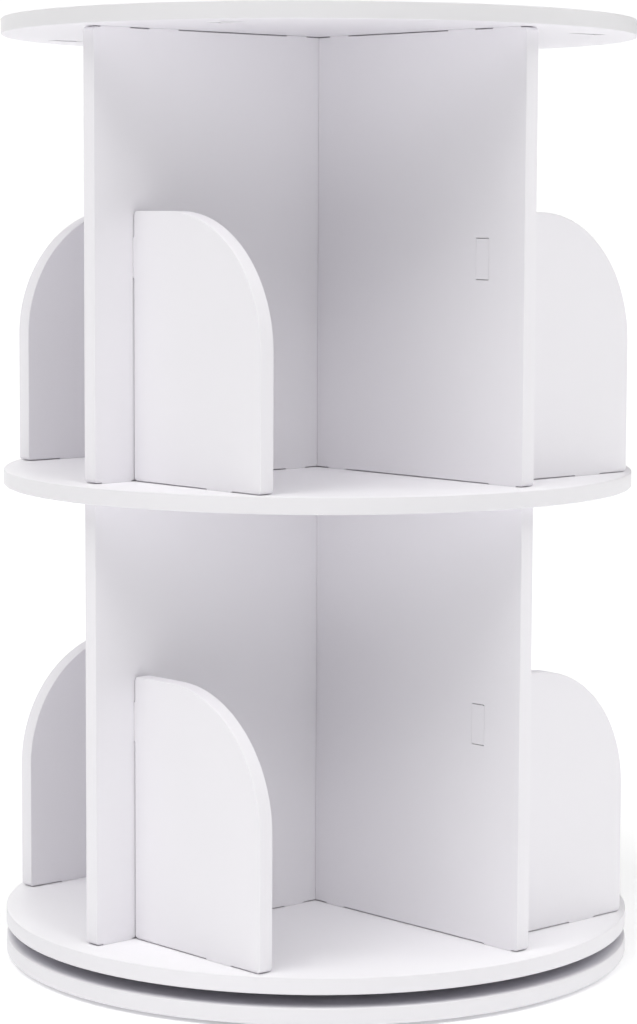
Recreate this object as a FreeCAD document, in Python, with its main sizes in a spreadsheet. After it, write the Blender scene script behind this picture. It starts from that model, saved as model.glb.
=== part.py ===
import FreeCAD, Part
import math
import os
import re

import Sketcher

# Rotating media tower: four round boards of one diameter, the upper three turning on a ball
# turntable. Crossed dividers, halved into each other, part each tier into four compartments, and
# an arched fence stands on the outer side of each compartment. Boards are joined by tabs in slots
# routed to half the board's thickness.
#
# Millimetres. +Z is up and the origin is on the floor, under the centre of the tower. The dividers
# run along X and Y.

SIZES = {
    # round boards
    "disc_diameter": 460.0,
    "board_thickness": 12.0,
    "tier_height": 312.0,  # clear height between two boards
    "rim_easing": 1.0,
    # dividers and fences, cut from the same board
    "divider_inset": 17.0,  # from the rim of the round boards to the divider's outer edge
    "panel_easing": 0.8,
    "panel_corner_radius": 3.0,
    "joint_gap": 0.4,  # open line between a panel's edge and the board it stands on
    "slot_clearance": 0.15,
    "slot_end_clearance": 0.5,  # a routed slot is longer than its tab by this at each end
    "lap_clearance": 0.2,
    # tabs of the dividers
    "inner_tab_start": 18.0,  # from the tower's axis
    "inner_tab_width": 19.0,
    "middle_tab_setback": 3.0,  # from the inner face of the fence
    "middle_tab_width": 26.0,
    "outer_tab_inset": 6.0,  # from the divider's outer edge
    "outer_tab_width": 26.0,
    # fences
    "fence_setback": 34.0,  # from the divider's outer edge to the fence's outer face
    "fence_corner_inset": 3.3,  # from the rim of the round boards to the fence's far corner
    "fence_height": 187.0,
    "fence_arch_radius": 93.0,
    "fence_tab_inset": 29.0,  # from the fence's far edge
    "fence_tab_width": 26.0,
    "side_tab_inset": 18.0,  # from the fence's top to the tab that passes through the divider
    "side_tab_width": 28.0,
    # feet
    "foot_height": 3.0,
    "foot_diameter": 24.0,
    "foot_inset": 25.0,  # from the rim of the base board to the middle of a foot
    "foot_count": 6,
    # ball turntable: an outer ring on the base board and an inner ring under the turntable board
    "bearing_height": 9.0,
    "ring_relief": 0.5,  # between a ring and the board that it isn't screwed to
    "outer_ring_radius": 72.0,
    "inner_ring_bore_radius": 33.0,
    "race_radius": 50.0,
    "ring_gap": 1.6,
    "ball_diameter": 5.0,
    "ball_count": 10,
    "race_clearance": 0.3,
    "cage_thickness": 0.8,
    "cage_height": 6.0,
    "cage_clearance": 0.15,
    # countersunk wood screws of the turntable
    "screw_count": 4,
    "screw_angle": 45.0,  # of the first screw, from +X
    "screw_diameter": 3.5,
    "screw_length": 17.0,
    "screw_tip_length": 2.5,
    "screw_head_diameter": 6.5,
    "screw_head_height": 1.5,
    "screw_head_sink": 0.2,  # below the ring's face
    "screw_hole_clearance": 0.1,
    "pilot_clearance": 0.05,
    "pilot_spare_depth": 0.5,
    "driver_hole_diameter": 10.0,
}

# Heights of the stack, from the floor.
BASE_LEVEL = "foot_height"
BEARING_LEVEL = "(foot_height + board_thickness)"
TURNTABLE_LEVEL = f"({BEARING_LEVEL} + bearing_height)"
LOWER_TIER_LEVEL = f"({TURNTABLE_LEVEL} + board_thickness)"
SHELF_LEVEL = f"({LOWER_TIER_LEVEL} + tier_height)"
UPPER_TIER_LEVEL = f"({SHELF_LEVEL} + board_thickness)"
TOP_LEVEL = f"({UPPER_TIER_LEVEL} + tier_height)"

# Plan of a tier. The dividers end inside the boards' rim, and so does each fence's far corner.
DISC_RADIUS = "disc_diameter / 2"
DIVIDER_REACH = f"({DISC_RADIUS} - divider_inset)"  # from the tower's axis
FENCE_OUTER_FACE = f"({DIVIDER_REACH} - fence_setback)"
FENCE_INNER_FACE = f"({FENCE_OUTER_FACE} - board_thickness)"
FENCE_CORNER = f"({DISC_RADIUS} - fence_corner_inset)"  # straight from the tower's axis
FENCE_REACH = f"sqrt({FENCE_CORNER}^2 - {FENCE_OUTER_FACE}^2)"  # from its divider's middle plane
FENCE_SPRING = "(fence_height - fence_arch_radius)"

# Joinery. A slot is half a board deep, so tabs meet its floor, or each other inside the shelf.
HALF_BOARD = "board_thickness / 2"
TAB_ROOT = "2 * panel_easing"  # how far a tab starts inside its panel, past the eased edge
INNER_TAB = ("inner_tab_start", "inner_tab_width")
MIDDLE_TAB = (
    f"({FENCE_INNER_FACE} - middle_tab_setback - middle_tab_width)",
    "middle_tab_width",
)
OUTER_TAB = (f"({DIVIDER_REACH} - outer_tab_inset - outer_tab_width)", "outer_tab_width")
BOTTOM_TABS = [INNER_TAB, OUTER_TAB]
TOP_TABS = [INNER_TAB, MIDDLE_TAB, OUTER_TAB]
FENCE_TAB_END = f"({FENCE_REACH} - fence_tab_inset)"
SIDE_TAB_TOP = "(fence_height - side_tab_inset)"

# Turntable. The two rings are alike in section, each measured from the board that it is screwed to.
# Their races are right-angled V grooves that face each other, so the balls also lock the rings.
RING_HEIGHT = "(bearing_height - ring_relief)"
RACE_HEIGHT = "bearing_height / 2"
RACE_DEPTH = "((ball_diameter / 2 + race_clearance) * sqrt(2))"  # of the V, from the race circle
RACE_HALF_MOUTH = f"({RACE_DEPTH} - ring_gap / 2)"
OUTER_SCREW_RADIUS = f"((race_radius + {RACE_DEPTH} + outer_ring_radius) / 2)"
INNER_SCREW_RADIUS = f"((race_radius - {RACE_DEPTH} + inner_ring_bore_radius) / 2)"
HEAD_LEVEL = f"({RING_HEIGHT} - screw_head_sink)"
PILOT_DEPTH = f"(screw_length - {HEAD_LEVEL} + pilot_spare_depth)"

QUARTER_TURNS = {"right": 0, "back": 90, "left": 180, "front": 270}
TOLERANCE = 1e-6
UP = FreeCAD.Vector(0, 0, 1)
# The numbers by which a sketch knows its own axes and the points of an edge.
HORIZONTAL_INDEX, VERTICAL_INDEX = -1, -2
START_INDEX, END_INDEX, CENTRE_INDEX = 1, 2, 3
ORIGIN_POINT = (HORIZONTAL_INDEX, START_INDEX)


# ---- the sheet and what is tied to it ------------------------------------------------------------


def make_sheet():
    sheet = doc.addObject("Spreadsheet::Sheet", "sizes")
    for row, (alias, size) in enumerate(SIZES.items(), start=1):
        sheet.set(f"A{row}", alias)
        sheet.set(f"B{row}", str(size))
        sheet.setAlias(f"B{row}", alias)
    doc.recompute()
    return sheet


def sheet_text(text):
    """The expression, with each size named as the sheet knows it."""
    return re.sub(
        r"[a-z_]+", lambda word: f"sizes.{word[0]}" if word[0] in SIZES else word[0], text
    )


def number(text):
    return float(sheet.evalExpression(sheet_text(text)))


def tie(thing, path, text):
    thing.setExpression(path, sheet_text(text))


# ---- sketches --------------------------------------------------------------------------------------


def new_body(name):
    body = doc.addObject("PartDesign::Body", name)
    body.Label = name
    return body


def origin_feature(body, role):
    return next(feature for feature in body.Origin.OriginFeatures if feature.Role == role)


def new_sketch(body, name, plane, lift="0"):
    sketch = body.newObject("Sketcher::SketchObject", name)
    sketch.AttachmentSupport = (origin_feature(body, plane), [""])
    sketch.MapMode = "FlatFace"
    tie(sketch, "AttachmentOffset.Base.z", lift)
    return sketch


def measure(sketch, kind, *args):
    """Adds a constraint whose last argument is an expression over the sheet."""
    *places, text = args
    index = sketch.addConstraint(Sketcher.Constraint(kind, *places, number(text)))
    tie(sketch, f"Constraints[{index}]", text)


def place(sketch, side, point, across, up):
    """Holds a point at (across, up) from the sketch's origin."""
    if across == "0":
        sketch.addConstraint(Sketcher.Constraint("PointOnObject", side, point, VERTICAL_INDEX))
    else:
        measure(sketch, "DistanceX", *ORIGIN_POINT, side, point, across)
    if up == "0":
        sketch.addConstraint(Sketcher.Constraint("PointOnObject", side, point, HORIZONTAL_INDEX))
    else:
        measure(sketch, "DistanceY", *ORIGIN_POINT, side, point, up)


def join(sketch, kind, before, after):
    """Joins the end of one edge to the start of the next."""
    sketch.addConstraint(Sketcher.Constraint(kind, before, END_INDEX, after, START_INDEX))


def circle(sketch, across, up, radius):
    centre = FreeCAD.Vector(number(across), number(up), 0)
    ring = sketch.addGeometry(Part.Circle(centre, UP, number(radius)), False)
    place(sketch, ring, CENTRE_INDEX, across, up)
    measure(sketch, "Radius", ring, radius)


def outline(sketch, corners):
    """Draws a closed outline through the corners, each an (across, up) pair of expressions."""
    spots = [FreeCAD.Vector(number(across), number(up), 0) for across, up in corners]
    sides = []
    for start, end in zip(spots, spots[1:] + spots[:1]):
        sides.append(sketch.addGeometry(Part.LineSegment(start, end), False))
    for index, side in enumerate(sides):
        join(sketch, "Coincident", sides[index - 1], side)
        place(sketch, side, START_INDEX, *corners[index])


def rectangle(sketch, left, right, bottom, top):
    outline(sketch, [(left, bottom), (right, bottom), (right, top), (left, top)])


# ---- features --------------------------------------------------------------------------------------


def pad(body, name, sketch, length, both_ways=False):
    feature = body.newObject("PartDesign::Pad", name)
    feature.Profile = sketch
    tie(feature, "Length", length)
    if both_ways:
        feature.SideType = "Symmetric"
    doc.recompute()
    return feature


def pocket(body, name, sketch, depth=None, along_normal=False):
    """Cuts the sketch to a depth, or right through both ways where no depth is given."""
    before = body.Shape.Volume
    feature = body.newObject("PartDesign::Pocket", name)
    feature.Profile = sketch
    if depth is None:
        feature.SideType = "Symmetric"
        feature.Type = "ThroughAll"
    else:
        tie(feature, "Length", depth)
        feature.Reversed = along_normal
    doc.recompute()
    if feature.Shape.Volume >= before:
        raise RuntimeError(f"{name} of {body.Label} cuts nothing")
    return feature


def revolve(body, name, sketch, axis):
    feature = body.newObject("PartDesign::Revolution", name)
    feature.Profile = sketch
    feature.ReferenceAxis = axis
    feature.Angle = 360
    doc.recompute()
    return feature


def polar_pattern(body, name, features, count):
    pattern = body.newObject("PartDesign::PolarPattern", name)
    pattern.Originals = features
    pattern.Axis = (origin_feature(body, "Z_Axis"), [""])
    pattern.Angle = 360
    tie(pattern, "Occurrences", count)
    body.Tip = pattern
    doc.recompute()
    return pattern


def mirror_across_axis(body, name, features):
    mirrored = body.newObject("PartDesign::Mirrored", name)
    mirrored.Originals = features
    mirrored.MirrorPlane = (origin_feature(body, "YZ_Plane"), [""])
    body.Tip = mirrored
    doc.recompute()
    return mirrored


def dress_edges(body, kind, name, size, chosen):
    """Rounds (Fillet) or bevels (Chamfer) the edges of the body's last feature that are chosen."""
    base = body.Tip
    names = [f"Edge{n}" for n, edge in enumerate(base.Shape.Edges, start=1) if chosen(edge)]
    feature = body.newObject(f"PartDesign::{kind}", name)
    feature.Base = (base, names)
    tie(feature, "Radius" if kind == "Fillet" else "Size", size)
    doc.recompute()
    return feature


def flat_across(direction):
    """Test for the edges that lie in a face square to the direction X, Y or Z."""
    return lambda edge: getattr(edge.BoundBox, f"{direction}Length") < TOLERANCE


def through(direction):
    """Test for the edges that run along the direction X, Y or Z."""
    return lambda edge: not flat_across(direction)(edge)


def put(body, level, turn=0, upside_down=False):
    """Sets the body at its height, turned over if asked and then about the tower's axis."""
    rotation = FreeCAD.Rotation(UP, turn)
    if upside_down:
        rotation = rotation.multiply(FreeCAD.Rotation(FreeCAD.Vector(1, 0, 0), 180))
    body.Placement = FreeCAD.Placement(FreeCAD.Vector(), rotation)
    tie(body, "Placement.Base.z", level)


# ---- round boards ----------------------------------------------------------------------------------


def round_board(name, level):
    body = new_body(name)
    sketch = new_sketch(body, "rim", "XY_Plane")
    circle(sketch, "0", "0", DISC_RADIUS)
    pad(body, "board", sketch, "board_thickness")
    dress_edges(body, "Chamfer", "eased_rims", "rim_easing", flat_across("Z"))
    put(body, level)
    return body


def rout_slots(body, face, divider_tabs):
    """Routs the slots of the dividers' tabs and of the fences' foot tabs into one face."""
    lift = "board_thickness" if face == "upper" else "0"
    sketch = new_sketch(body, f"{face}_slots_of_one_quarter", "XY_Plane", lift)
    half_width = "(board_thickness / 2 + slot_clearance)"
    for start, width in divider_tabs:
        rectangle(
            sketch,
            f"{start} - slot_end_clearance",
            f"{start} + {width} + slot_end_clearance",
            f"-{half_width}",
            half_width,
        )
    rectangle(
        sketch,
        f"{FENCE_INNER_FACE} - slot_clearance",
        f"{FENCE_OUTER_FACE} + slot_clearance",
        f"{FENCE_TAB_END} - fence_tab_width - slot_end_clearance",
        f"{FENCE_TAB_END} + slot_end_clearance",
    )
    slots = pocket(body, f"{face}_slots", sketch, HALF_BOARD, along_normal=face == "lower")
    polar_pattern(body, f"{face}_slots_of_all_quarters", [slots], str(len(QUARTER_TURNS)))


def circle_at_screw(sketch, screw_radius, radius):
    """Draws a circle where the first screw stands."""
    across = f"{screw_radius} * cos(screw_angle)"
    up = f"{screw_radius} * sin(screw_angle)"
    circle(sketch, across, up, radius)


def drill_pilot_holes(body, face, screw_radius):
    """Blind holes for the wood screws of a race ring."""
    lift = "board_thickness" if face == "upper" else "0"
    sketch = new_sketch(body, "pilot_hole_circle", "XY_Plane", lift)
    circle_at_screw(sketch, screw_radius, "screw_diameter / 2 + pilot_clearance")
    hole = pocket(body, "pilot_hole", sketch, PILOT_DEPTH, along_normal=face == "lower")
    polar_pattern(body, "pilot_holes", [hole], "screw_count")


def cut_driver_hole(body):
    """The hole through which the screws of the inner race ring are driven."""
    sketch = new_sketch(body, "driver_hole_circle", "XY_Plane")
    circle_at_screw(sketch, INNER_SCREW_RADIUS, "driver_hole_diameter / 2")
    pocket(body, "driver_hole", sketch)


def base_board():
    body = round_board("base_board", BASE_LEVEL)
    drill_pilot_holes(body, "upper", OUTER_SCREW_RADIUS)
    cut_driver_hole(body)
    return body


def turntable_board():
    body = round_board("turntable_board", TURNTABLE_LEVEL)
    rout_slots(body, "upper", BOTTOM_TABS)
    drill_pilot_holes(body, "lower", INNER_SCREW_RADIUS)
    return body


def middle_shelf():
    body = round_board("middle_shelf", SHELF_LEVEL)
    rout_slots(body, "lower", TOP_TABS)
    rout_slots(body, "upper", BOTTOM_TABS)
    return body


def top_board():
    body = round_board("top_board", TOP_LEVEL)
    rout_slots(body, "lower", TOP_TABS)
    return body


def foot_pads():
    body = new_body("foot_pads")
    sketch = new_sketch(body, "pad_circle", "XY_Plane")
    circle(sketch, f"{DISC_RADIUS} - foot_inset", "0", "foot_diameter / 2")
    foot = pad(body, "foot", sketch, "foot_height")
    polar_pattern(body, "feet", [foot], "foot_count")
    return body


# ---- dividers --------------------------------------------------------------------------------------


def divider(name, level, quarter_turn, lap_opens):
    """One full-width panel. Its lap slot opens at the top or at the bottom."""
    body = new_body(name)
    low, high = "joint_gap", "(tier_height - joint_gap)"

    panel = new_sketch(body, "panel_outline", "XZ_Plane")
    rectangle(panel, f"-{DIVIDER_REACH}", DIVIDER_REACH, low, high)
    pad(body, "panel", panel, "board_thickness", both_ways=True)
    dress_edges(body, "Fillet", "corners", "panel_corner_radius", through("Y"))
    dress_edges(body, "Chamfer", "eased_edges", "panel_easing", flat_across("Y"))

    tabs = new_sketch(body, "tabs_of_one_side", "XZ_Plane")
    for start, width in BOTTOM_TABS:
        rectangle(tabs, start, f"{start} + {width}", f"-({HALF_BOARD})", f"{low} + {TAB_ROOT}")
    for start, width in TOP_TABS:
        end = f"{start} + {width}"
        rectangle(tabs, start, end, f"{high} - {TAB_ROOT}", f"tier_height + {HALF_BOARD}")
    tab_pads = pad(body, "tabs", tabs, "board_thickness", both_ways=True)

    slot = new_sketch(body, "fence_slot_outline", "XZ_Plane")
    rectangle(
        slot,
        f"{FENCE_INNER_FACE} - slot_clearance",
        f"{FENCE_OUTER_FACE} + slot_clearance",
        f"{SIDE_TAB_TOP} - side_tab_width - slot_end_clearance",
        f"{SIDE_TAB_TOP} + slot_end_clearance",
    )
    fence_slot = pocket(body, "fence_slot", slot)
    mirror_across_axis(body, "other_side", [tab_pads, fence_slot])

    lap = new_sketch(body, "lap_outline", "XZ_Plane")
    half_width = "(board_thickness / 2 + lap_clearance)"
    middle = "tier_height / 2"
    if lap_opens == "top":
        rectangle(lap, f"-{half_width}", half_width, f"{middle} - lap_clearance", "tier_height")
    else:
        rectangle(lap, f"-{half_width}", half_width, "0", f"{middle} + lap_clearance")
    pocket(body, "lap_slot", lap)
    put(body, level, quarter_turn)
    return body


# ---- fences ----------------------------------------------------------------------------------------


def arch(sketch, left, bottom):
    """Fence outline: straight far edge, then a quarter round that runs into a flat top."""
    radius = number("fence_arch_radius")
    reach = number(FENCE_REACH)
    height = number("fence_height")
    centre = FreeCAD.Vector(reach - radius, number(FENCE_SPRING), 0)

    corners = [
        FreeCAD.Vector(number(left), number(bottom), 0),
        FreeCAD.Vector(reach, number(bottom), 0),
        FreeCAD.Vector(reach, centre.y, 0),
        FreeCAD.Vector(centre.x, height, 0),
        FreeCAD.Vector(number(left), height, 0),
    ]
    foot = sketch.addGeometry(Part.LineSegment(corners[0], corners[1]), False)
    far_edge = sketch.addGeometry(Part.LineSegment(corners[1], corners[2]), False)
    circle_of_arch = Part.Circle(centre, UP, radius)
    quarter = sketch.addGeometry(Part.ArcOfCircle(circle_of_arch, 0, math.pi / 2), False)
    flat = sketch.addGeometry(Part.LineSegment(corners[3], corners[4]), False)
    near_edge = sketch.addGeometry(Part.LineSegment(corners[4], corners[0]), False)

    for before, after in [(foot, far_edge), (flat, near_edge), (near_edge, foot)]:
        join(sketch, "Coincident", before, after)
    for before, after in [(far_edge, quarter), (quarter, flat)]:
        join(sketch, "Tangent", before, after)
    for level_side in (foot, flat):
        sketch.addConstraint(Sketcher.Constraint("Horizontal", level_side))
    for upright_side in (far_edge, near_edge):
        sketch.addConstraint(Sketcher.Constraint("Vertical", upright_side))
    place(sketch, foot, START_INDEX, left, bottom)
    place(sketch, far_edge, END_INDEX, FENCE_REACH, FENCE_SPRING)
    measure(sketch, "Radius", quarter, "fence_arch_radius")


def fence(name, level, quarter_turn):
    """Arched panel that stands on a board, its near edge against the divider that carries it."""
    body = new_body(name)
    left = "(board_thickness / 2 + joint_gap)"
    bottom = "joint_gap"

    panel = new_sketch(body, "arch_outline", "YZ_Plane", FENCE_INNER_FACE)
    arch(panel, left, bottom)
    pad(body, "panel", panel, "board_thickness")

    def at_a_corner(edge):
        box = edge.BoundBox
        at_near_edge = abs(box.YMax - number(left)) < TOLERANCE
        at_foot = abs(box.ZMax - number(bottom)) < TOLERANCE
        return box.XLength > TOLERANCE and (at_near_edge or at_foot)

    dress_edges(body, "Fillet", "corners", "panel_corner_radius", at_a_corner)
    dress_edges(body, "Chamfer", "eased_edges", "panel_easing", flat_across("X"))

    tabs = new_sketch(body, "tab_outlines", "YZ_Plane", FENCE_INNER_FACE)
    rectangle(
        tabs,
        f"{FENCE_TAB_END} - fence_tab_width",
        FENCE_TAB_END,
        f"-({HALF_BOARD})",
        f"{bottom} + {TAB_ROOT}",
    )
    rectangle(
        tabs,
        f"-({HALF_BOARD})",
        f"{left} + {TAB_ROOT}",
        f"{SIDE_TAB_TOP} - side_tab_width",
        SIDE_TAB_TOP,
    )
    pad(body, "tabs", tabs, "board_thickness")
    put(body, level, quarter_turn)
    return body


# ---- ball turntable --------------------------------------------------------------------------------


def race_ring(name, level, race_side, far_side, screw_radius, upside_down):
    """One ring of the turntable, with its race and its countersunk screw holes.

    race_side is + for the ring outside the balls and - for the one inside them; far_side is the
    radius of its other wall.
    """
    body = new_body(name)
    wall = f"race_radius {race_side} ring_gap / 2"
    section = new_sketch(body, "section", "XZ_Plane")
    outline(
        section,
        [
            (far_side, "0"),
            (wall, "0"),
            (wall, f"{RACE_HEIGHT} - {RACE_HALF_MOUTH}"),
            (f"race_radius {race_side} {RACE_DEPTH}", RACE_HEIGHT),
            (wall, f"{RACE_HEIGHT} + {RACE_HALF_MOUTH}"),
            (wall, RING_HEIGHT),
            (far_side, RING_HEIGHT),
        ],
    )
    revolve(body, "ring", section, (section, ["V_Axis"]))
    countersink_holes(body, screw_radius)
    put(body, level, number("screw_angle"), upside_down)
    return body


def countersink_holes(body, screw_radius):
    """Screw holes in a ring, a clearance wider than the screws all the way down."""
    section = new_sketch(body, "screw_hole_half_section", "XZ_Plane")
    bore = f"{screw_radius} + screw_diameter / 2 + screw_hole_clearance"
    mouth = f"{screw_radius} + screw_head_diameter / 2 + screw_hole_clearance"
    outline(
        section,
        [
            (screw_radius, "0"),
            (screw_radius, RING_HEIGHT),
            (mouth, RING_HEIGHT),
            (mouth, HEAD_LEVEL),
            (bore, f"{HEAD_LEVEL} - screw_head_height"),
            (bore, "0"),
        ],
    )
    before = body.Shape.Volume
    hole = body.newObject("PartDesign::Groove", "screw_hole")
    hole.Profile = section
    hole.ReferenceAxis = (section, ["Edge1"])
    hole.Angle = 360
    doc.recompute()
    if hole.Shape.Volume >= before:
        raise RuntimeError(f"the screw holes of {body.Label} cut nothing")
    polar_pattern(body, "screw_holes", [hole], "screw_count")


def outer_race_ring():
    return race_ring(
        "outer_race_ring", BEARING_LEVEL, "+", "outer_ring_radius", OUTER_SCREW_RADIUS, False
    )


def inner_race_ring():
    return race_ring(
        "inner_race_ring", TURNTABLE_LEVEL, "-", "inner_ring_bore_radius", INNER_SCREW_RADIUS, True
    )


def ball_cage():
    """Thin band between the rings, with a round window for each ball."""
    body = new_body("ball_cage")
    low = f"{RACE_HEIGHT} - cage_height / 2"
    band = new_sketch(body, "band_outline", "XY_Plane", low)
    circle(band, "0", "0", "race_radius + cage_thickness / 2")
    circle(band, "0", "0", "race_radius - cage_thickness / 2")
    pad(body, "band", band, "cage_height")
    window = new_sketch(body, "window_circle", "YZ_Plane")
    circle(window, "0", RACE_HEIGHT, "ball_diameter / 2 + cage_clearance")
    reach = "race_radius + cage_thickness"
    ball_window = pocket(body, "window", window, reach, along_normal=True)
    polar_pattern(body, "windows", [ball_window], "ball_count")
    put(body, BEARING_LEVEL)
    return body


def bearing_balls():
    body = new_body("bearing_balls")
    ball = body.newObject("PartDesign::AdditiveSphere", "ball")
    ball.AttachmentSupport = (origin_feature(body, "XY_Plane"), [""])
    ball.MapMode = "FlatFace"
    tie(ball, "Radius", "ball_diameter / 2")
    tie(ball, "AttachmentOffset.Base.x", "race_radius")
    tie(ball, "AttachmentOffset.Base.z", RACE_HEIGHT)
    doc.recompute()
    polar_pattern(body, "balls", [ball], "ball_count")
    put(body, BEARING_LEVEL)
    return body


def ring_screws(name, level, screw_radius, upside_down):
    """Countersunk wood screws, their heads sunk in a race ring and their points in the board."""
    body = new_body(name)
    tip = f"{HEAD_LEVEL} - screw_length"
    shank = f"{screw_radius} + screw_diameter / 2"
    section = new_sketch(body, "half_section", "XZ_Plane")
    outline(
        section,
        [
            (screw_radius, tip),
            (screw_radius, HEAD_LEVEL),
            (f"{screw_radius} + screw_head_diameter / 2", HEAD_LEVEL),
            (shank, f"{HEAD_LEVEL} - screw_head_height"),
            (shank, f"{tip} + screw_tip_length"),
        ],
    )
    screw = revolve(body, "screw", section, (section, ["Edge1"]))
    polar_pattern(body, "screws", [screw], "screw_count")
    put(body, level, number("screw_angle"), upside_down)
    return body


# ---- the tower -------------------------------------------------------------------------------------


def make_tier(tier, level):
    """Two crossed dividers and the four fences that they carry."""
    pieces = [
        divider(f"{tier}_divider_side_to_side", level, 0, lap_opens="top"),
        divider(f"{tier}_divider_front_to_back", level, 90, lap_opens="bottom"),
    ]
    for side, quarter_turn in QUARTER_TURNS.items():
        pieces.append(fence(f"{tier}_fence_{side}", level, quarter_turn))
    return pieces


def make_tower():
    return [
        foot_pads(),
        base_board(),
        outer_race_ring(),
        ring_screws("outer_ring_screws", BEARING_LEVEL, OUTER_SCREW_RADIUS, upside_down=False),
        ball_cage(),
        bearing_balls(),
        inner_race_ring(),
        ring_screws("inner_ring_screws", TURNTABLE_LEVEL, INNER_SCREW_RADIUS, upside_down=True),
        turntable_board(),
        *make_tier("lower", LOWER_TIER_LEVEL),
        middle_shelf(),
        *make_tier("upper", UPPER_TIER_LEVEL),
        top_board(),
    ]


def check_features():
    for thing in doc.Objects:
        if "Invalid" in thing.State or "Error" in thing.State:
            raise RuntimeError(f"{thing.Label} failed: {thing.State}")


def write_piece(piece):
    if piece.Shape.isNull() or not piece.Shape.isValid():
        raise RuntimeError(f"{piece.Label} has no sound shape")
    piece.Shape.exportStep(os.path.join("parts", f"{piece.Label}.step"))


doc = FreeCAD.newDocument("rotating_media_tower")
sheet = make_sheet()
tower = make_tower()
doc.recompute()
check_features()
os.makedirs("parts", exist_ok=True)
for piece in tower:
    write_piece(piece)
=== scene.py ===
import math

import bmesh
import bpy
from mathutils import Matrix, Vector


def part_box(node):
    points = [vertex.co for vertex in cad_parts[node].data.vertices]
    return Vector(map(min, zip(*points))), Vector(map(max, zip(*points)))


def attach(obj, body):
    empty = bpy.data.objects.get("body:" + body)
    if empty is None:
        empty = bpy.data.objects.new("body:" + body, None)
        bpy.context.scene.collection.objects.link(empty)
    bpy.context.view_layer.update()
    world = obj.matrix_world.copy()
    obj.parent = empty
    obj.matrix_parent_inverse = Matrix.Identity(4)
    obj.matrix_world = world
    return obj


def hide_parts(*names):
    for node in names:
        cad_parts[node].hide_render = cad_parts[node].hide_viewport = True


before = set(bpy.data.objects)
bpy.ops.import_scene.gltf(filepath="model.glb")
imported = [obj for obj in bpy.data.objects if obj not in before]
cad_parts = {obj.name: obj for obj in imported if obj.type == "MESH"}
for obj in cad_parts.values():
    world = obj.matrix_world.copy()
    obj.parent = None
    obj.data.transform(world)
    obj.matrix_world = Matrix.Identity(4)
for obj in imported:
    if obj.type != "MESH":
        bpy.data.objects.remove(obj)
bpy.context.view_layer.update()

# Rotating media tower: painted white boards, tabbed into each other, on a ball turntable.
# The boards, rings, cage and balls are the CAD's own shapes and only get their finishes here.
# The screws and the foot pads are made again, with threads, cross recesses and grip grooves.
# Metres, +Z up, the floor at 0.

LEVEL_BOARDS = {  # name: painted shade on its rim, painted highlight on its upper face, painted shade in the gaps under and above it
    "top_board": {"rim_shade": 0.75},
    "middle_shelf": {"rim_shade": 0.35, "top_highlight": 0.6},
    "turntable_board": {"rim_shade": 0.25, "top_highlight": 1.0, "under_shade": 0.35},
    "base_board": {"rim_shade": 0.35, "under_shade": 1.0, "over_shade": 1.0},
}
PANELS_ALONG_X = [
    f"{tier}_{panel}"
    for tier in ("lower", "upper")
    for panel in ("divider_side_to_side", "fence_front", "fence_back")
]
PANELS_ALONG_Y = [
    f"{tier}_{panel}"
    for tier in ("lower", "upper")
    for panel in ("divider_front_to_back", "fence_left", "fence_right")
]

# Screws of the turntable rings
SCREW_COUNT = 4
SCREW_ANGLE = math.radians(45)
SCREW_LENGTH = 0.017
HEAD_RADIUS = 0.00325
HEAD_HEIGHT = 0.0015
HEAD_EASING = 0.0002
SHANK_RADIUS = 0.00175
SHANK_STEPS = 32
NECK_LENGTH = 0.0005  # from the shank down to the thread's core
CORE_RADIUS = 0.0012
TIP_LENGTH = 0.0025
THREAD_START = 0.0035  # below the top of the head
THREAD_PITCH = 0.0013
THREAD_STEPS = 20  # in each turn
RECESS_REACH = 0.0017
RECESS_WIDTH = 0.0007
RECESS_DEPTH = 0.0012
RECESS_CLEARANCE = 0.0004  # how far the cutter stands out of the head
REACH_LEFT, WIDTH_LEFT = 0.45, 0.7  # shares of the recess that are left at its bottom
OUTER_SCREWS_SEED, INNER_SCREWS_SEED = 2, 5

# Foot pads
FOOT_COUNT = 6
FOOT_RADIUS = 0.012
FOOT_STEPS = 48
SOLE_EASING = 0.0006
SOLE_CORNER = 0.00018  # how far the middle of the sole's easing stays from the corner
TOP_EASING_DOWN, TOP_EASING_IN = 0.0005, 0.0002
GROOVE_RADII = (0.0045, 0.008)
GROOVE_HALF_WIDTH = 0.0008
GROOVE_DEPTH = 0.0006


# ---- wiring nodes ----------------------------------------------------------------------------------

# Sockets of a Mix node that mixes colours
MIX_FIRST, MIX_SECOND, MIX_RESULT = 6, 7, 2
NODE_SPACING = 220


def add(tree, kind, inputs=None, **settings):
    """Adds one node, sets it up and feeds its inputs with values or with other nodes' outputs."""
    node = tree.nodes.new(kind)
    node.location = (NODE_SPACING * len(tree.nodes), 0)
    for setting, value in settings.items():
        setattr(node, setting, value)
    for socket, value in (inputs or {}).items():
        if isinstance(value, bpy.types.NodeSocket):
            tree.links.new(value, node.inputs[socket])
        else:
            node.inputs[socket].default_value = value
    return node


def maths(tree, operation, first, second=0.0, third=0.0):
    return add(
        tree, "ShaderNodeMath", {0: first, 1: second, 2: third}, operation=operation
    ).outputs[0]


def vector_maths(tree, operation, first, second):
    node = add(tree, "ShaderNodeVectorMath", {0: first, 1: second}, operation=operation)
    return node.outputs["Value" if operation in ("DOT_PRODUCT", "LENGTH") else "Vector"]


def ramp(tree, value, start, end, low=0.0, high=1.0, smooth=True):
    """Carries a value from start..end over to low..high, held at both ends."""
    node = add(
        tree,
        "ShaderNodeMapRange",
        {"Value": value, "From Min": start, "From Max": end, "To Min": low, "To Max": high},
        interpolation_type="SMOOTHSTEP" if smooth else "LINEAR",
    )
    return node.outputs["Result"]


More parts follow.
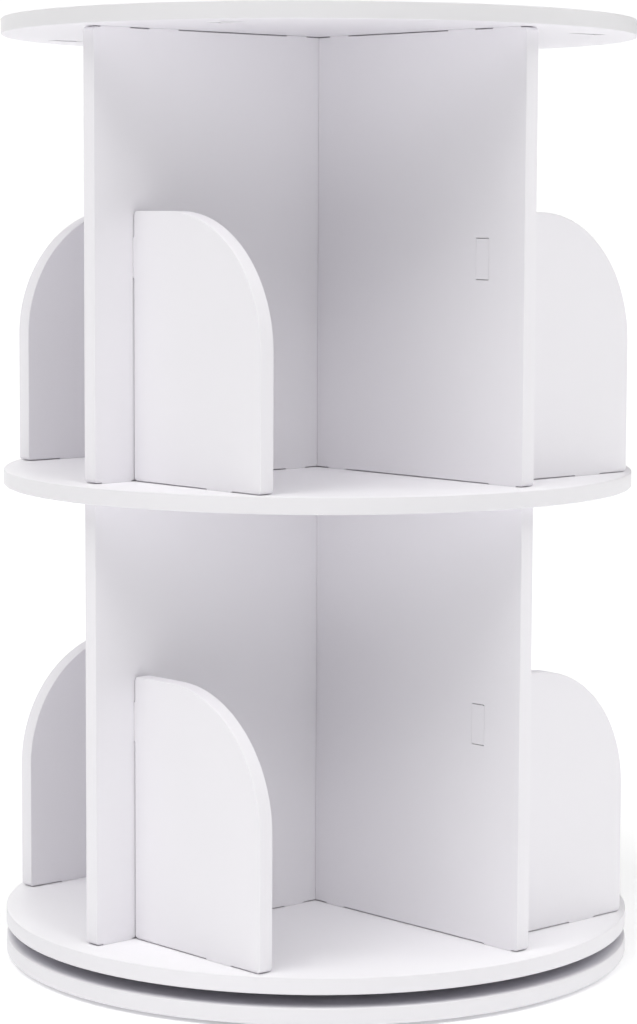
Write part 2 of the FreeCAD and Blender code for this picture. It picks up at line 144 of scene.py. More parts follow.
def noise(tree, place, size, detail=2.0, roughness=0.5):
    """Soft noise whose lumps are about size metres across."""
    scale = maths(tree, "DIVIDE", 1.0, size) if isinstance(size, bpy.types.NodeSocket) else 1 / size
    node = add(
        tree,
        "ShaderNodeTexNoise",
        {"Vector": place, "Scale": scale, "Detail": detail, "Roughness": roughness},
    )
    return node.outputs["Fac"]


def upward(tree, facing):
    """How far a face looks up: 1 straight up, 0 sideways, -1 down."""
    return add(tree, "ShaderNodeSeparateXYZ", {0: facing}).outputs["Z"]


def about_axis(tree, place):
    """How far a place is from the tower's axis, and how high."""
    apart = add(tree, "ShaderNodeSeparateXYZ", {0: place}).outputs
    flat = add(tree, "ShaderNodeCombineXYZ", {"X": apart["X"], "Y": apart["Y"]}).outputs[0]
    return vector_maths(tree, "LENGTH", flat, (0, 0, 0)), apart["Z"]


def mix_colours(tree, share, first, second):
    """The first colour where the share is 0, the second where it is 1."""
    node = add(tree, "ShaderNodeMix", {"Factor": share}, data_type="RGBA", blend_type="MIX")
    for index, value in ((MIX_FIRST, first), (MIX_SECOND, second)):
        if isinstance(value, bpy.types.NodeSocket):
            tree.links.new(value, node.inputs[index])
        else:
            node.inputs[index].default_value = (*value, 1.0)
    return node.outputs[MIX_RESULT]


def new_group(name, kind, sockets):
    """A node group with its sockets, each (name, in or out, type, usual value or None)."""
    group = bpy.data.node_groups.new(name, kind)
    for socket, side, socket_type, value in sockets:
        made = group.interface.new_socket(
            name=socket,
            in_out="INPUT" if side == "in" else "OUTPUT",
            socket_type=f"NodeSocket{socket_type}",
        )
        if value is not None:
            made.default_value = value
    return group, group.nodes.new("NodeGroupInput"), group.nodes.new("NodeGroupOutput")


def give(group, outlet, results):
    """Hands a group's results to its outputs."""
    for socket, value in results.items():
        group.links.new(value, outlet.inputs[socket])


def use(tree, group, inputs):
    """Puts a group to work in a tree."""
    return add(tree, "ShaderNodeGroup", inputs, node_tree=group).outputs


# ---- effects that several finishes share -----------------------------------------------------------

PEEL_HEIGHT = 0.000012
WAVE_HEIGHT = 0.00025
TICK_HEIGHT = 0.00003
TICK_DRAW = 0.93  # share of a tick's change through the thickness that is taken away


def paint_skin():
    """Sprayed satin paint: fine orange peel, a slow wave in the board, faint clouds and rub marks."""
    group, inlet, outlet = new_group(
        "paint_skin",
        "ShaderNodeTree",
        [
            ("Place", "in", "Vector", None),
            ("Peel Size", "in", "Float", 0.0011),
            ("Wave Size", "in", "Float", 0.045),
            ("Cloud Size", "in", "Float", 0.07),
            ("Height", "out", "Float", None),
            ("Tone", "out", "Float", None),
            ("Rub", "out", "Float", None),
        ],
    )
    place = inlet.outputs["Place"]
    peel = noise(group, place, inlet.outputs["Peel Size"], detail=1.0)
    wave = noise(group, place, inlet.outputs["Wave Size"], detail=0.0)
    clouds = noise(group, place, inlet.outputs["Cloud Size"], detail=3.0)
    patches = noise(group, place, inlet.outputs["Wave Size"], detail=4.0, roughness=0.7)
    peel_height = maths(group, "MULTIPLY", peel, PEEL_HEIGHT)
    height = maths(group, "MULTIPLY_ADD", wave, WAVE_HEIGHT, peel_height)
    rub = ramp(group, patches, 0.52, 0.68)
    give(group, outlet, {"Height": height, "Tone": clouds, "Rub": rub})
    return group


def cut_edge():
    """Tells the sawn edge of a board from its faces, with the ticks that the router left there.

    Across is the direction of the board's thickness. Crest is 1 on the eased corner between a face
    and the edge.
    """
    group, inlet, outlet = new_group(
        "cut_edge",
        "ShaderNodeTree",
        [
            ("Place", "in", "Vector", None),
            ("Facing", "in", "Vector", None),
            ("Across", "in", "Vector", (0, 0, 1)),
            ("Tick Size", "in", "Float", 0.0009),
            ("Edge", "out", "Float", None),
            ("Crest", "out", "Float", None),
            ("Height", "out", "Float", None),
        ],
    )
    place, across = inlet.outputs["Place"], inlet.outputs["Across"]
    flatness = vector_maths(group, "DOT_PRODUCT", inlet.outputs["Facing"], across)
    flatness = maths(group, "ABSOLUTE", flatness)
    edge = ramp(group, flatness, 0.75, 0.3)
    off_face = ramp(group, flatness, 0.995, 0.8)
    crest = maths(group, "MULTIPLY", off_face, ramp(group, flatness, 0.1, 0.6))

    # The ticks run through the thickness, so their pattern hardly changes that way
    through = vector_maths(group, "MULTIPLY", across, (TICK_DRAW, TICK_DRAW, TICK_DRAW))
    through = vector_maths(group, "MULTIPLY", place, through)
    drawn_out = vector_maths(group, "SUBTRACT", place, through)
    ticks = noise(group, drawn_out, inlet.outputs["Tick Size"], detail=1.0)
    height = maths(group, "MULTIPLY", maths(group, "MULTIPLY", ticks, edge), TICK_HEIGHT)
    give(group, outlet, {"Edge": edge, "Crest": crest, "Height": height})
    return group


def settled_dust():
    """A thin veil of dust on what faces up."""
    group, inlet, outlet = new_group(
        "settled_dust",
        "ShaderNodeTree",
        [
            ("Place", "in", "Vector", None),
            ("Facing", "in", "Vector", None),
            ("Amount", "in", "Float", 0.1),
            ("Drift Size", "in", "Float", 0.09),
            ("Dust", "out", "Float", None),
        ],
    )
    lying = ramp(group, upward(group, inlet.outputs["Facing"]), 0.8, 1.0)
    drifts = noise(group, inlet.outputs["Place"], inlet.outputs["Drift Size"], detail=5.0)
    drifts = ramp(group, drifts, 0.35, 0.75)
    amount = maths(group, "MULTIPLY", lying, inlet.outputs["Amount"])
    give(group, outlet, {"Dust": maths(group, "MULTIPLY", drifts, amount)})
    return group


def gap_shade_mask():
    """Masks the faces in the narrow gaps under and above a board, which get a darker grey as painted
    shade.

    Under is how much of it a board's underside gets, and Over how much the upper face of a board gets
    that carries another just above it. Both stay white at the rim, and the painted shade fades in
    from there with a ragged border.
    """
    group, inlet, outlet = new_group(
        "gap_shade_mask",
        "ShaderNodeTree",
        [
            ("Place", "in", "Vector", None),
            ("Facing", "in", "Vector", None),
            ("Under", "in", "Float", 0.0),
            ("Over", "in", "Float", 0.0),
            ("Rim Radius", "in", "Float", 0.23),
            ("Rim Fade", "in", "Float", 0.006),
            ("Ragged Size", "in", "Float", 0.03),
            ("Ragged Depth", "in", "Float", 0.004),
            ("Gap Shade", "out", "Float", None),
        ],
    )
    place = inlet.outputs["Place"]
    radius, _ = about_axis(group, place)
    ragged = noise(group, place, inlet.outputs["Ragged Size"], detail=2.0)
    ragged = maths(group, "SUBTRACT", ragged, 0.5)
    depth = maths(group, "SUBTRACT", inlet.outputs["Rim Radius"], radius)
    depth = maths(group, "MULTIPLY_ADD", ragged, inlet.outputs["Ragged Depth"], depth)
    inside = ramp(group, maths(group, "DIVIDE", depth, inlet.outputs["Rim Fade"]), 0.05, 1.0)
    up = upward(group, inlet.outputs["Facing"])
    above = maths(group, "MULTIPLY", ramp(group, up, 0.7, 0.95), inlet.outputs["Over"])
    below = maths(group, "MULTIPLY", ramp(group, up, -0.7, -0.95), inlet.outputs["Under"])
    painted_gap_shade = maths(group, "MULTIPLY", maths(group, "ADD", above, below), inside)
    give(group, outlet, {"Gap Shade": painted_gap_shade})
    return group


def turned_lines():
    """Rings that a lathe leaves in metal, about the tower's axis."""
    group, inlet, outlet = new_group(
        "turned_lines",
        "ShaderNodeTree",
        [
            ("Place", "in", "Vector", None),
            ("Feed", "in", "Float", 0.00025),
            ("Tone Size", "in", "Float", 0.012),
            ("Lines", "out", "Float", None),
            ("Tone", "out", "Float", None),
        ],
    )
    place = inlet.outputs["Place"]
    radius, height = about_axis(group, place)
    section = add(group, "ShaderNodeCombineXYZ", {"X": radius, "Z": height}).outputs[0]
    lines = noise(group, section, inlet.outputs["Feed"], detail=2.0, roughness=0.7)
    tone = noise(group, place, inlet.outputs["Tone Size"], detail=3.0)
    give(group, outlet, {"Lines": lines, "Tone": tone})
    return group


# ---- finishes --------------------------------------------------------------------------------------

PAINT_LIGHT = (0.893, 0.878, 0.916)
PAINT_SHADE = (0.875, 0.860, 0.898)
# Painted highlight: a lighter paint on the eased corners of the panels and on the upper faces of the
# shelf and the turntable board
PAINT_HIGHLIGHT = (0.92, 0.91, 0.94)
# Painted shade: a darker paint on the rims of the round boards, most on the top board's
PAINT_RIM_SHADE = (0.76, 0.755, 0.77)
PAINT_IOR = 1.5
PAINT_RELIEF = 0.6
PAINT_ROUGHNESS, RUBBED_ROUGHNESS = 0.46, 0.38
EDGE_DULLNESS, DUST_DULLNESS = 0.08, 0.6  # what they add to the roughness
# Painted shade: a darker grey in the narrow gaps under the turntable board and around the base board
GAP_SHADE = (0.63, 0.62, 0.67)
DUST = (0.74, 0.73, 0.75)
DUST_AMOUNT = 0.06
# Painted shade: a darker paint where another surface is near, in the joints and gaps between the
# parts
JOINT_SHADE = (0.69, 0.67, 0.71)
JOINT_DEPTH = 0.0015  # how near another surface has to be for the joint to get painted shade
JOINT_SAMPLES = 6

# The two tones that each of the other finishes runs between
ALUMINIUM = (0.78, 0.78, 0.80), (0.68, 0.68, 0.70)
ZINC = (0.66, 0.67, 0.69), (0.55, 0.56, 0.60)
STEEL = (0.72, 0.72, 0.73), (0.60, 0.59, 0.58)
NYLON = (0.028, 0.028, 0.030), (0.045, 0.045, 0.048)
RUBBER = (0.022, 0.022, 0.023), (0.07, 0.07, 0.07)
FLOOR = (0.925, 0.925, 0.94), (0.91, 0.91, 0.925)

# How high their grain stands
TURNING_HEIGHT = 0.00001
ZINC_GRAIN_HEIGHT = 0.000008
NYLON_SPARK_HEIGHT = 0.00002
RUBBER_GRAIN_HEIGHT = 0.00006

LIGHT_COLOUR = (1.0, 1.0, 0.983)
FLOOR_GLOW = 0.24


def new_finish(name):
    """An empty material with its Principled shader, and the coordinates that patterns read."""
    material = bpy.data.materials.new(name)
    material.use_nodes = True
    tree = material.node_tree
    tree.nodes.clear()
    shader = add(tree, "ShaderNodeBsdfPrincipled")
    outlet = add(tree, "ShaderNodeOutputMaterial")
    tree.links.new(shader.outputs["BSDF"], outlet.inputs["Surface"])
    seat = add(tree, "ShaderNodeTexCoord").outputs
    return material, tree, shader, seat["Object"], seat["Normal"]


def set_constants(shader, **values):
    """Sets the shader's sockets that stay the same all over."""
    for socket, value in values.items():
        shader.inputs[socket.replace("_", " ")].default_value = value


def vary(tree, shader, **values):
    """Feeds the shader's sockets with what changes over the surface."""
    for socket, value in values.items():
        tree.links.new(value, shader.inputs[socket.replace("_", " ")])


def raise_surface(tree, shader, height, strength=1.0):
    bump = add(tree, "ShaderNodeBump", {"Height": height, "Strength": strength, "Distance": 1.0})
    vary(tree, shader, Normal=bump.outputs["Normal"])


def white_paint(name, across, rim_shade=0.0, top_highlight=0.0, under_shade=0.0, over_shade=0.0):
    """Satin white paint over a composite board whose thickness lies along across.

    Rim_shade is how far painted shade darkens the rim of a round board. On the other boards a painted
    highlight lightens the eased corners instead. Top_highlight is how far a painted highlight
    lightens a face that looks up. Under_shade and over_shade are how far painted shade darkens the
    faces in the gaps under and above the board, and every board gets painted shade in its joints.
    """
    material, tree, shader, place, facing = new_finish(name)
    skin = use(tree, shared["paint_skin"], {"Place": place})
    edge = use(tree, shared["cut_edge"], {"Place": place, "Facing": facing, "Across": across})
    dust = use(
        tree, shared["settled_dust"], {"Place": place, "Facing": facing, "Amount": DUST_AMOUNT}
    )

    colour = mix_colours(tree, skin["Tone"], PAINT_LIGHT, PAINT_SHADE)
    if rim_shade:
        # Painted shade darkens the rim
        rim_darkening = maths(tree, "MULTIPLY", edge["Edge"], rim_shade)
        colour = mix_colours(tree, rim_darkening, colour, PAINT_RIM_SHADE)
    else:
        # Painted highlight on the eased corners
        colour = mix_colours(tree, edge["Crest"], colour, PAINT_HIGHLIGHT)
    # Painted highlight on the faces that look up
    if top_highlight:
        top_lightening = ramp(tree, upward(tree, facing), 0.8, 1.0, high=top_highlight)
        colour = mix_colours(tree, top_lightening, colour, PAINT_HIGHLIGHT)
    colour = mix_colours(tree, dust["Dust"], colour, DUST)
    # Painted shade in the gaps under and above the board
    if under_shade or over_shade:
        painted_gap_shade = use(
            tree,
            shared["gap_shade_mask"],
            {"Place": place, "Facing": facing, "Under": under_shade, "Over": over_shade},
        )
        colour = mix_colours(tree, painted_gap_shade["Gap Shade"], colour, GAP_SHADE)
    # Painted shade: darker where another surface stands near, in the joints between the parts
    room = add(
        tree, "ShaderNodeAmbientOcclusion", {"Distance": JOINT_DEPTH}, samples=JOINT_SAMPLES
    )
    painted_joint_shade = ramp(tree, room.outputs["AO"], 0.5, 0.1)
    colour = mix_colours(tree, painted_joint_shade, colour, JOINT_SHADE)

    gloss = ramp(tree, skin["Rub"], 0, 1, PAINT_ROUGHNESS, RUBBED_ROUGHNESS, smooth=False)
    gloss = maths(tree, "MULTIPLY_ADD", edge["Edge"], EDGE_DULLNESS, gloss)
    gloss = maths(tree, "MULTIPLY_ADD", dust["Dust"], DUST_DULLNESS, gloss)
    vary(tree, shader, Base_Color=colour, Roughness=gloss)
    raise_surface(tree, shader, maths(tree, "ADD", skin["Height"], edge["Height"]), PAINT_RELIEF)
    set_constants(shader, IOR=PAINT_IOR)
    return material


def turned_aluminium():
    material, tree, shader, place, _ = new_finish("turned_aluminium")
    lines = use(tree, shared["turned_lines"], {"Place": place})
    colour = mix_colours(tree, lines["Tone"], *ALUMINIUM)
    gloss = ramp(tree, lines["Lines"], 0.2, 0.8, low=0.24, high=0.42)
    vary(tree, shader, Base_Color=colour, Roughness=gloss)
    raise_surface(tree, shader, maths(tree, "MULTIPLY", lines["Lines"], TURNING_HEIGHT))
    set_constants(shader, Metallic=1.0)
    return material


def zinc_plate():
    material, tree, shader, place, _ = new_finish("zinc_plate")
    blush = noise(tree, place, size=0.0035, detail=3.0)
    colour = mix_colours(tree, blush, *ZINC)
    gloss = ramp(tree, blush, 0.3, 0.7, low=0.28, high=0.45)
    vary(tree, shader, Base_Color=colour, Roughness=gloss)
    grain = noise(tree, place, size=0.0003, detail=2.0)
    raise_surface(tree, shader, maths(tree, "MULTIPLY", grain, ZINC_GRAIN_HEIGHT))
    set_constants(shader, Metallic=1.0)
    return material


def bearing_steel():
    material, tree, shader, place, _ = new_finish("bearing_steel")
    film = noise(tree, place, size=0.002, detail=4.0, roughness=0.7)
    colour = mix_colours(tree, film, *STEEL)
    gloss = ramp(tree, film, 0.35, 0.7, low=0.06, high=0.18)
    vary(tree, shader, Base_Color=colour, Roughness=gloss)
    set_constants(shader, Metallic=1.0)
    return material


def moulded_nylon():
    material, tree, shader, place, _ = new_finish("moulded_nylon")
    spark = noise(tree, place, size=0.0004, detail=2.0)
    bloom = noise(tree, place, size=0.009, detail=3.0)
    colour = mix_colours(tree, bloom, *NYLON)
    gloss = ramp(tree, bloom, 0.3, 0.7, low=0.42, high=0.56)
    vary(tree, shader, Base_Color=colour, Roughness=gloss)
    raise_surface(tree, shader, maths(tree, "MULTIPLY", spark, NYLON_SPARK_HEIGHT))
    return material


def foot_rubber():
    material, tree, shader, place, _ = new_finish("foot_rubber")
    grain = noise(tree, place, size=0.0005, detail=3.0)
    chalk = noise(tree, place, size=0.006, detail=4.0)
    colour = mix_colours(tree, ramp(tree, chalk, 0.4, 0.8), *RUBBER)
    gloss = ramp(tree, chalk, 0.3, 0.8, low=0.72, high=0.92)
    vary(tree, shader, Base_Color=colour, Roughness=gloss)
    raise_surface(tree, shader, maths(tree, "MULTIPLY", grain, RUBBER_GRAIN_HEIGHT))
    return material


def pale_floor():
    """Matt white floor that glows faintly, like the lit sweep of a studio."""
    material, tree, shader, place, _ = new_finish("pale_floor")
    cloud = noise(tree, place, size=0.4, detail=3.0)
    colour = mix_colours(tree, cloud, *FLOOR)
    gloss = ramp(tree, cloud, 0.3, 0.7, low=0.75, high=0.85)
    vary(tree, shader, Base_Color=colour, Roughness=gloss)
    set_constants(shader, Emission_Color=(*LIGHT_COLOUR, 1.0), Emission_Strength=FLOOR_GLOW)
    return material


# ---- dressing the CAD's own pieces -----------------------------------------------------------------


def softened_edges():
    """Joins the faces of a board and shades its eased edges round, with true corners kept sharp."""
    group, inlet, outlet = new_group(
        "softened_edges",
        "GeometryNodeTree",
        [
            ("Board", "in", "Geometry", None),
            ("Merge Distance", "in", "Float", 0.00001),
            ("Sharp Angle", "in", "Float", math.radians(60)),
            ("Board", "out", "Geometry", None),
        ],
    )
    merged = add(
        group,
        "GeometryNodeMergeByDistance",
        {"Geometry": inlet.outputs["Board"], "Distance": inlet.outputs["Merge Distance"]},
    ).outputs[0]
    rounded = add(group, "GeometryNodeSetShadeSmooth", {0: merged, "Shade Smooth": True}).outputs[0]
    angle = add(group, "GeometryNodeInputMeshEdgeAngle").outputs["Unsigned Angle"]
    gentle = add(
        group,
        "FunctionNodeCompare",
        {0: angle, 1: inlet.outputs["Sharp Angle"]},
        data_type="FLOAT",
        operation="LESS_THAN",
    ).outputs[0]
    creased = add(
        group, "GeometryNodeSetShadeSmooth", {0: rounded, "Shade Smooth": gentle}, domain="EDGE"
    ).outputs[0]
    give(group, outlet, {"Board": creased})
    return group


def dress(name, finish, soften=False):
    """Gives one of the CAD's pieces its finish, and shades its edges round if they are softened."""
    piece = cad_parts[name]
    for slot in piece.material_slots:
        slot.link = "OBJECT"
        slot.material = finish
    if soften:
        piece.modifiers.new("softened_edges", "NODES").node_group = shared["softened_edges"]
        shading = piece.modifiers.new("even_shading", "WEIGHTED_NORMAL")
        shading.keep_sharp = True


# ---- pieces made again in detail -------------------------------------------------------------------


def turned_mesh(name, profile, steps):
    """A solid of revolution from (radius, height) points that start and end on the axis."""
    mesh = bmesh.new()
    rings = []
    for radius, height in profile:
        if radius == 0:
            rings.append([mesh.verts.new((0, 0, height))] * steps)
            continue
        turns = [2 * math.pi * step / steps for step in range(steps)]
        rings.append(
            [mesh.verts.new((radius * math.cos(a), radius * math.sin(a), height)) for a in turns]
        )
    for before, after in zip(rings, rings[1:]):
        for step in range(steps):
            follow = (step + 1) % steps
            corners = [before[step], before[follow], after[follow], after[step]]
            mesh.faces.new(dict.fromkeys(corners))
    bmesh.ops.recalc_face_normals(mesh, faces=mesh.faces)
    made = bpy.data.meshes.new(name)
    mesh.to_mesh(made)
    mesh.free()
    return made


def set_inputs(modifier, values):
    """Sets a Geometry Nodes modifier's inputs, found by name and set by identifier."""
    for item in modifier.node_group.interface.items_tree:
        if item.item_type == "SOCKET" and item.in_out == "INPUT" and item.name in values:
            modifier[item.identifier] = values[item.name]


def realised(name, mesh, group, values):
    """Runs a tree over a mesh and keeps the result as a plain mesh object at the origin."""
    maker = bpy.data.objects.new(f"{name}_maker", mesh)
    bpy.context.scene.collection.objects.link(maker)
    modifier = maker.modifiers.new(name, "NODES")
    modifier.node_group = group
    set_inputs(modifier, values)
    depsgraph = bpy.context.evaluated_depsgraph_get()
    made = bpy.data.meshes.new_from_object(maker.evaluated_get(depsgraph))
    bpy.data.objects.remove(maker)
    piece = bpy.data.objects.new(name, made)
    made.name = name
    bpy.context.scene.collection.objects.link(piece)
    return piece


CIRCLE_SOCKETS = [
    ("Shape", "in", "Geometry", None),
    ("Count", "in", "Int", 4),
    ("Circle Radius", "in", "Float", 0.05),
    ("First Angle", "in", "Float", 0.0),
    ("Turn Over", "in", "Float", 0.0),
    ("Height", "in", "Float", 0.0),
    ("Seed", "in", "Int", 3),
    ("Finish", "in", "Material", None),
    ("Pieces", "out", "Geometry", None),
]


def on_a_circle(group, shape, inlet):
    """Sets copies of a shape on a circle, each turned at random about its own upright axis."""
    circle = add(
        group,
        "GeometryNodeMeshCircle",
        {"Vertices": inlet.outputs["Count"], "Radius": inlet.outputs["Circle Radius"]},
    ).outputs[0]
    spin = add(
        group,
        "FunctionNodeRandomValue",
        {"Min": (0, 0, 0), "Max": (0, 0, 2 * math.pi), "Seed": inlet.outputs["Seed"]},
        data_type="FLOAT_VECTOR",
    ).outputs[0]
    copies = add(
        group,
        "GeometryNodeInstanceOnPoints",
        {"Points": circle, "Instance": shape, "Rotation": spin},
    ).outputs[0]
    turn = add(
        group,
        "ShaderNodeCombineXYZ",
        {"X": inlet.outputs["Turn Over"], "Z": inlet.outputs["First Angle"]},
    )
    lift = add(group, "ShaderNodeCombineXYZ", {"Z": inlet.outputs["Height"]})
    seated = add(
        group,
        "GeometryNodeTransform",
        {"Geometry": copies, "Translation": lift.outputs[0], "Rotation": turn.outputs[0]},
    ).outputs[0]
    plain = add(group, "GeometryNodeRealizeInstances", {"Geometry": seated}).outputs[0]
    return add(
        group,
        "GeometryNodeSetMaterial",
        {"Geometry": plain, "Material": inlet.outputs["Finish"]},
    ).outputs[0]


def threaded_screws():
    """Winds a thread round each screw's core and sets the screws on their circle."""
    group, inlet, outlet = new_group(
        "threaded_screws",
        "GeometryNodeTree",
        CIRCLE_SOCKETS
        + [
            ("Pitch", "in", "Float", THREAD_PITCH),
            ("Thread Length", "in", "Float", SCREW_LENGTH - THREAD_START - TIP_LENGTH),
            ("Thread Foot", "in", "Float", TIP_LENGTH - SCREW_LENGTH),
            ("Core Radius", "in", "Float", CORE_RADIUS),
            ("Ridge", "in", "Float", SHANK_RADIUS - CORE_RADIUS),
        ],
    )
    turns = maths(group, "DIVIDE", inlet.outputs["Thread Length"], inlet.outputs["Pitch"])
    helix = add(
        group,
        "GeometryNodeCurveSpiral",
        {
            "Resolution": THREAD_STEPS,
            "Rotations": turns,
            "Start Radius": inlet.outputs["Core Radius"],
            "End Radius": inlet.outputs["Core Radius"],
            "Height": inlet.outputs["Thread Length"],
        },
    ).outputs[0]
    foot = add(group, "ShaderNodeCombineXYZ", {"Z": inlet.outputs["Thread Foot"]}).outputs[0]
    helix = add(
        group, "GeometryNodeTransform", {"Geometry": helix, "Translation": foot}
    ).outputs[0]
    ridge = add(
        group,
        "GeometryNodeCurvePrimitiveCircle",
        {"Resolution": 3, "Radius": inlet.outputs["Ridge"]},
    ).outputs[0]
    thread = add(
        group,
        "GeometryNodeCurveToMesh",
        {"Curve": helix, "Profile Curve": ridge, "Fill Caps": True},
    ).outputs[0]
    screw = add(group, "GeometryNodeJoinGeometry", {0: inlet.outputs["Shape"]})
    group.links.new(thread, screw.inputs[0])
    give(group, outlet, {"Pieces": on_a_circle(group, screw.outputs[0], inlet)})
    return group


def pieces_on_a_circle():
    """Sets copies of a shape, just as it comes, on their circle."""
    group, inlet, outlet = new_group("pieces_on_a_circle", "GeometryNodeTree", CIRCLE_SOCKETS)
    give(group, outlet, {"Pieces": on_a_circle(group, inlet.outputs["Shape"], inlet)})
    return group


def screw_core():
    """Countersunk screw without its thread and recess, its head's face at height 0."""
    return turned_mesh(
        "screw_core",
        [
            (0, 0),
            (HEAD_RADIUS - HEAD_EASING, 0),
            (HEAD_RADIUS, -HEAD_EASING),
            (SHANK_RADIUS, -HEAD_HEIGHT),
            (SHANK_RADIUS, -THREAD_START),
            (CORE_RADIUS, -THREAD_START - NECK_LENGTH),
            (CORE_RADIUS, TIP_LENGTH - SCREW_LENGTH),
            (0, -SCREW_LENGTH),
        ],
        SHANK_STEPS,
    )


def cross_cutter():
    """Two tapering bars across each other, as the driver's cross is."""
    cross = bmesh.new()
    for turn in (0, math.pi / 2):
        arm = bmesh.ops.create_cube(cross, size=1.0)["verts"]
        for corner in arm:
            deep = corner.co.z < 0
            corner.co.x *= 2 * RECESS_REACH * (REACH_LEFT if deep else 1.0)
            corner.co.y *= RECESS_WIDTH * (WIDTH_LEFT if deep else 1.0)
            corner.co.z = -RECESS_DEPTH if deep else RECESS_CLEARANCE
        bmesh.ops.rotate(cross, verts=arm, matrix=Matrix.Rotation(turn, 3, "Z"))
    made = bpy.data.meshes.new("cross")
    cross.to_mesh(made)
    cross.free()
    return made


def screw_mesh():
    """The screw's core with the cross recess cut into its head."""
    blank = bpy.data.objects.new("screw_blank", screw_core())
    cutter = bpy.data.objects.new("cross", cross_cutter())
    for part in (cutter, blank):
        bpy.context.scene.collection.objects.link(part)
    cut = blank.modifiers.new("recess", "BOOLEAN")
    cut.object, cut.operation, cut.solver, cut.use_self = cutter, "DIFFERENCE", "EXACT", True
    depsgraph = bpy.context.evaluated_depsgraph_get()
    made = bpy.data.meshes.new_from_object(blank.evaluated_get(depsgraph))
    for part in (cutter, blank):
        bpy.data.objects.remove(part)
    return made


def make_ring_screws(name, body, seed, turn_over):
    """The screws that hold one ring, turned over where they go up into the board above it."""
    low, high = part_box(name)
    circle_radius = (high.x - HEAD_RADIUS) / math.cos(SCREW_ANGLE)
    piece = realised(
        f"{name}_threaded",
        screw_mesh(),
        shared["threaded_screws"],
        {
            "Count": SCREW_COUNT,
            "Circle Radius": circle_radius,
            "First Angle": SCREW_ANGLE,
            "Turn Over": math.pi if turn_over else 0.0,
            "Height": low.z if turn_over else high.z,
            "Seed": seed,
            "Finish": finishes["zinc_plate"],
        },
    )
    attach(piece, body)
    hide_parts(name)


def pad_profile(height):
    """A foot pad from the middle of its sole round to the middle of its top."""
    profile = [(0, 0)]
    for radius in GROOVE_RADII:
        profile += [
            (radius - GROOVE_HALF_WIDTH, 0),
            (radius - GROOVE_HALF_WIDTH / 2, GROOVE_DEPTH),
            (radius + GROOVE_HALF_WIDTH / 2, GROOVE_DEPTH),
            (radius + GROOVE_HALF_WIDTH, 0),
        ]
    return profile + [
        (FOOT_RADIUS - SOLE_EASING, 0),
        (FOOT_RADIUS - SOLE_CORNER, SOLE_CORNER),
        (FOOT_RADIUS, SOLE_EASING),
        (FOOT_RADIUS, height - TOP_EASING_DOWN),
        (FOOT_RADIUS - TOP_EASING_IN, height),
        (0, height),
    ]


def make_foot_pads():
    """Round rubber pads with softened rims and two grip grooves underneath."""
    low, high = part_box("foot_pads")
    piece = realised(
        "foot_pads_grooved",
        turned_mesh("pad", pad_profile(high.z - low.z), FOOT_STEPS),
        shared["pieces_on_a_circle"],
        {
            "Count": FOOT_COUNT,
            "Circle Radius": high.x - FOOT_RADIUS,
            "Height": low.z,
            "Finish": finishes["foot_rubber"],
        },
    )
    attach(piece, "base")
    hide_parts("foot_pads")


# ---- studio ----------------------------------------------------------------------------------------

CAMERA_AZIMUTH = math.radians(47.437)
CAMERA_DISTANCE = 2.1802
CAMERA_HEIGHT = 0.55684
CAMERA_PITCH = math.radians(5.7525)
CAMERA_ROLL = math.radians(0.2338)
SENSOR_WIDTH = 36.0  # millimetres, as the focal length
FOCAL_LENGTH = 104.50
SHIFT = (0.00096, -0.01503)

LIGHTS = {  # name: (degrees to the right of the camera, degrees up, degrees of spread, strength)
    "front_low": (0, 4, 30, 0.18),
    "front_right": (30, 46, 20, 0.50),
    "left": (-60, 40, 40, 0.40),
    "left_high": (-40, 60, 40, 1.26),
    "right_high": (40, 60, 40, 0.48),
    "left_side": (-110, 30, 50, 0.13),
    "right_side": (110, 30, 50, 1.07),
    "behind_left": (-150, 20, 60, 1.00),
}
DOME_STRENGTH = 0.02
BACKDROP_STRENGTH = 1.05
FLOOR_REACH = 30.0
FLOOR_SEGMENTS = 8


def outward(azimuth):
    """Level direction from the tower's axis, turned from the front towards the right."""
    return Vector((math.sin(azimuth), -math.cos(azimuth), 0))


def make_camera():
    """A long lens at the front right, above the shelf and looking slightly down."""
    out = outward(CAMERA_AZIMUTH)
    place = out * CAMERA_DISTANCE + Vector((0, 0, CAMERA_HEIGHT))
    sight = -out * math.cos(CAMERA_PITCH) - Vector((0, 0, math.sin(CAMERA_PITCH)))
    lens = bpy.data.cameras.new("camera")
    lens.sensor_width = SENSOR_WIDTH
    lens.lens = FOCAL_LENGTH
    lens.shift_x, lens.shift_y = SHIFT
    camera = bpy.data.objects.new("camera", lens)
    turn = sight.to_track_quat("-Z", "Y").to_matrix() @ Matrix.Rotation(CAMERA_ROLL, 3, "Z")
    camera.matrix_world = Matrix.Translation(place) @ turn.to_4x4()
    bpy.context.scene.collection.objects.link(camera)
    bpy.context.scene.camera = camera


def make_lights():
    """Wide soft lights from far off."""
    for name, (bearing, rise, spread, strength) in LIGHTS.items():
        lamp = bpy.data.lights.new(name, "SUN")
        lamp.angle = math.radians(spread)
        lamp.energy = strength
        lamp.color = LIGHT_COLOUR
        out = outward(CAMERA_AZIMUTH + math.radians(bearing)) * math.cos(math.radians(rise))
        beam = -(out + Vector((0, 0, math.sin(math.radians(rise)))))
        holder = bpy.data.objects.new(name, lamp)
        holder.rotation_euler = beam.to_track_quat("-Z", "Y").to_euler()
        bpy.context.scene.collection.objects.link(holder)


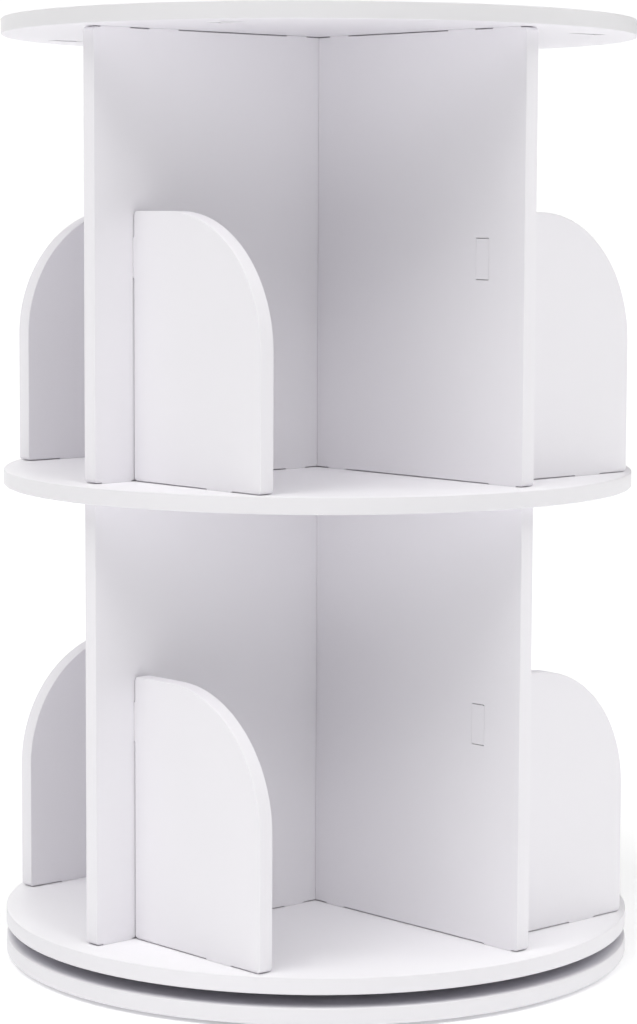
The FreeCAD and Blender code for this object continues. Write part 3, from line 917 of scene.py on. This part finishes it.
def make_backdrop():
    """An even dome, white to the camera, that lights the tower only faintly."""
    world = bpy.data.worlds.new("studio")
    world.use_nodes = True
    background = world.node_tree.nodes["Background"]
    background.inputs["Color"].default_value = (1.0, 1.0, 1.0, 1.0)
    seen = add(world.node_tree, "ShaderNodeLightPath").outputs["Is Camera Ray"]
    glow = ramp(world.node_tree, seen, 0, 1, DOME_STRENGTH, BACKDROP_STRENGTH, smooth=False)
    world.node_tree.links.new(glow, background.inputs["Strength"])
    bpy.context.scene.world = world


def make_floor():
    """A pale floor that reaches far past the tower on every side."""
    ground = bmesh.new()
    bmesh.ops.create_grid(
        ground, x_segments=FLOOR_SEGMENTS, y_segments=FLOOR_SEGMENTS, size=FLOOR_REACH
    )
    mesh = bpy.data.meshes.new("floor")
    ground.to_mesh(mesh)
    ground.free()
    floor = bpy.data.objects.new("floor", mesh)
    floor.data.materials.append(finishes["pale_floor"])
    bpy.context.scene.collection.objects.link(floor)


# ---- the tower -------------------------------------------------------------------------------------

shared = {
    "paint_skin": paint_skin(),
    "cut_edge": cut_edge(),
    "settled_dust": settled_dust(),
    "gap_shade_mask": gap_shade_mask(),
    "turned_lines": turned_lines(),
    "softened_edges": softened_edges(),
    "threaded_screws": threaded_screws(),
    "pieces_on_a_circle": pieces_on_a_circle(),
}
finishes = {
    "zinc_plate": zinc_plate(),
    "foot_rubber": foot_rubber(),
    "pale_floor": pale_floor(),
}

for board, paint in LEVEL_BOARDS.items():
    dress(board, white_paint(f"white_paint_{board}", (0, 0, 1), **paint), soften=True)
along_x_paint = white_paint("white_paint_panel_along_x", (0, 1, 0))
for panel in PANELS_ALONG_X:
    dress(panel, along_x_paint, soften=True)
along_y_paint = white_paint("white_paint_panel_along_y", (1, 0, 0))
for panel in PANELS_ALONG_Y:
    dress(panel, along_y_paint, soften=True)
aluminium = turned_aluminium()
for ring in ("outer_race_ring", "inner_race_ring"):
    dress(ring, aluminium)
dress("ball_cage", moulded_nylon())
dress("bearing_balls", bearing_steel())

make_ring_screws("outer_ring_screws", "base", OUTER_SCREWS_SEED, turn_over=False)
make_ring_screws("inner_ring_screws", "tower", INNER_SCREWS_SEED, turn_over=True)
make_foot_pads()

make_camera()
make_lights()
make_backdrop()
make_floor()
bpy.context.scene.view_settings.view_transform = "Standard"
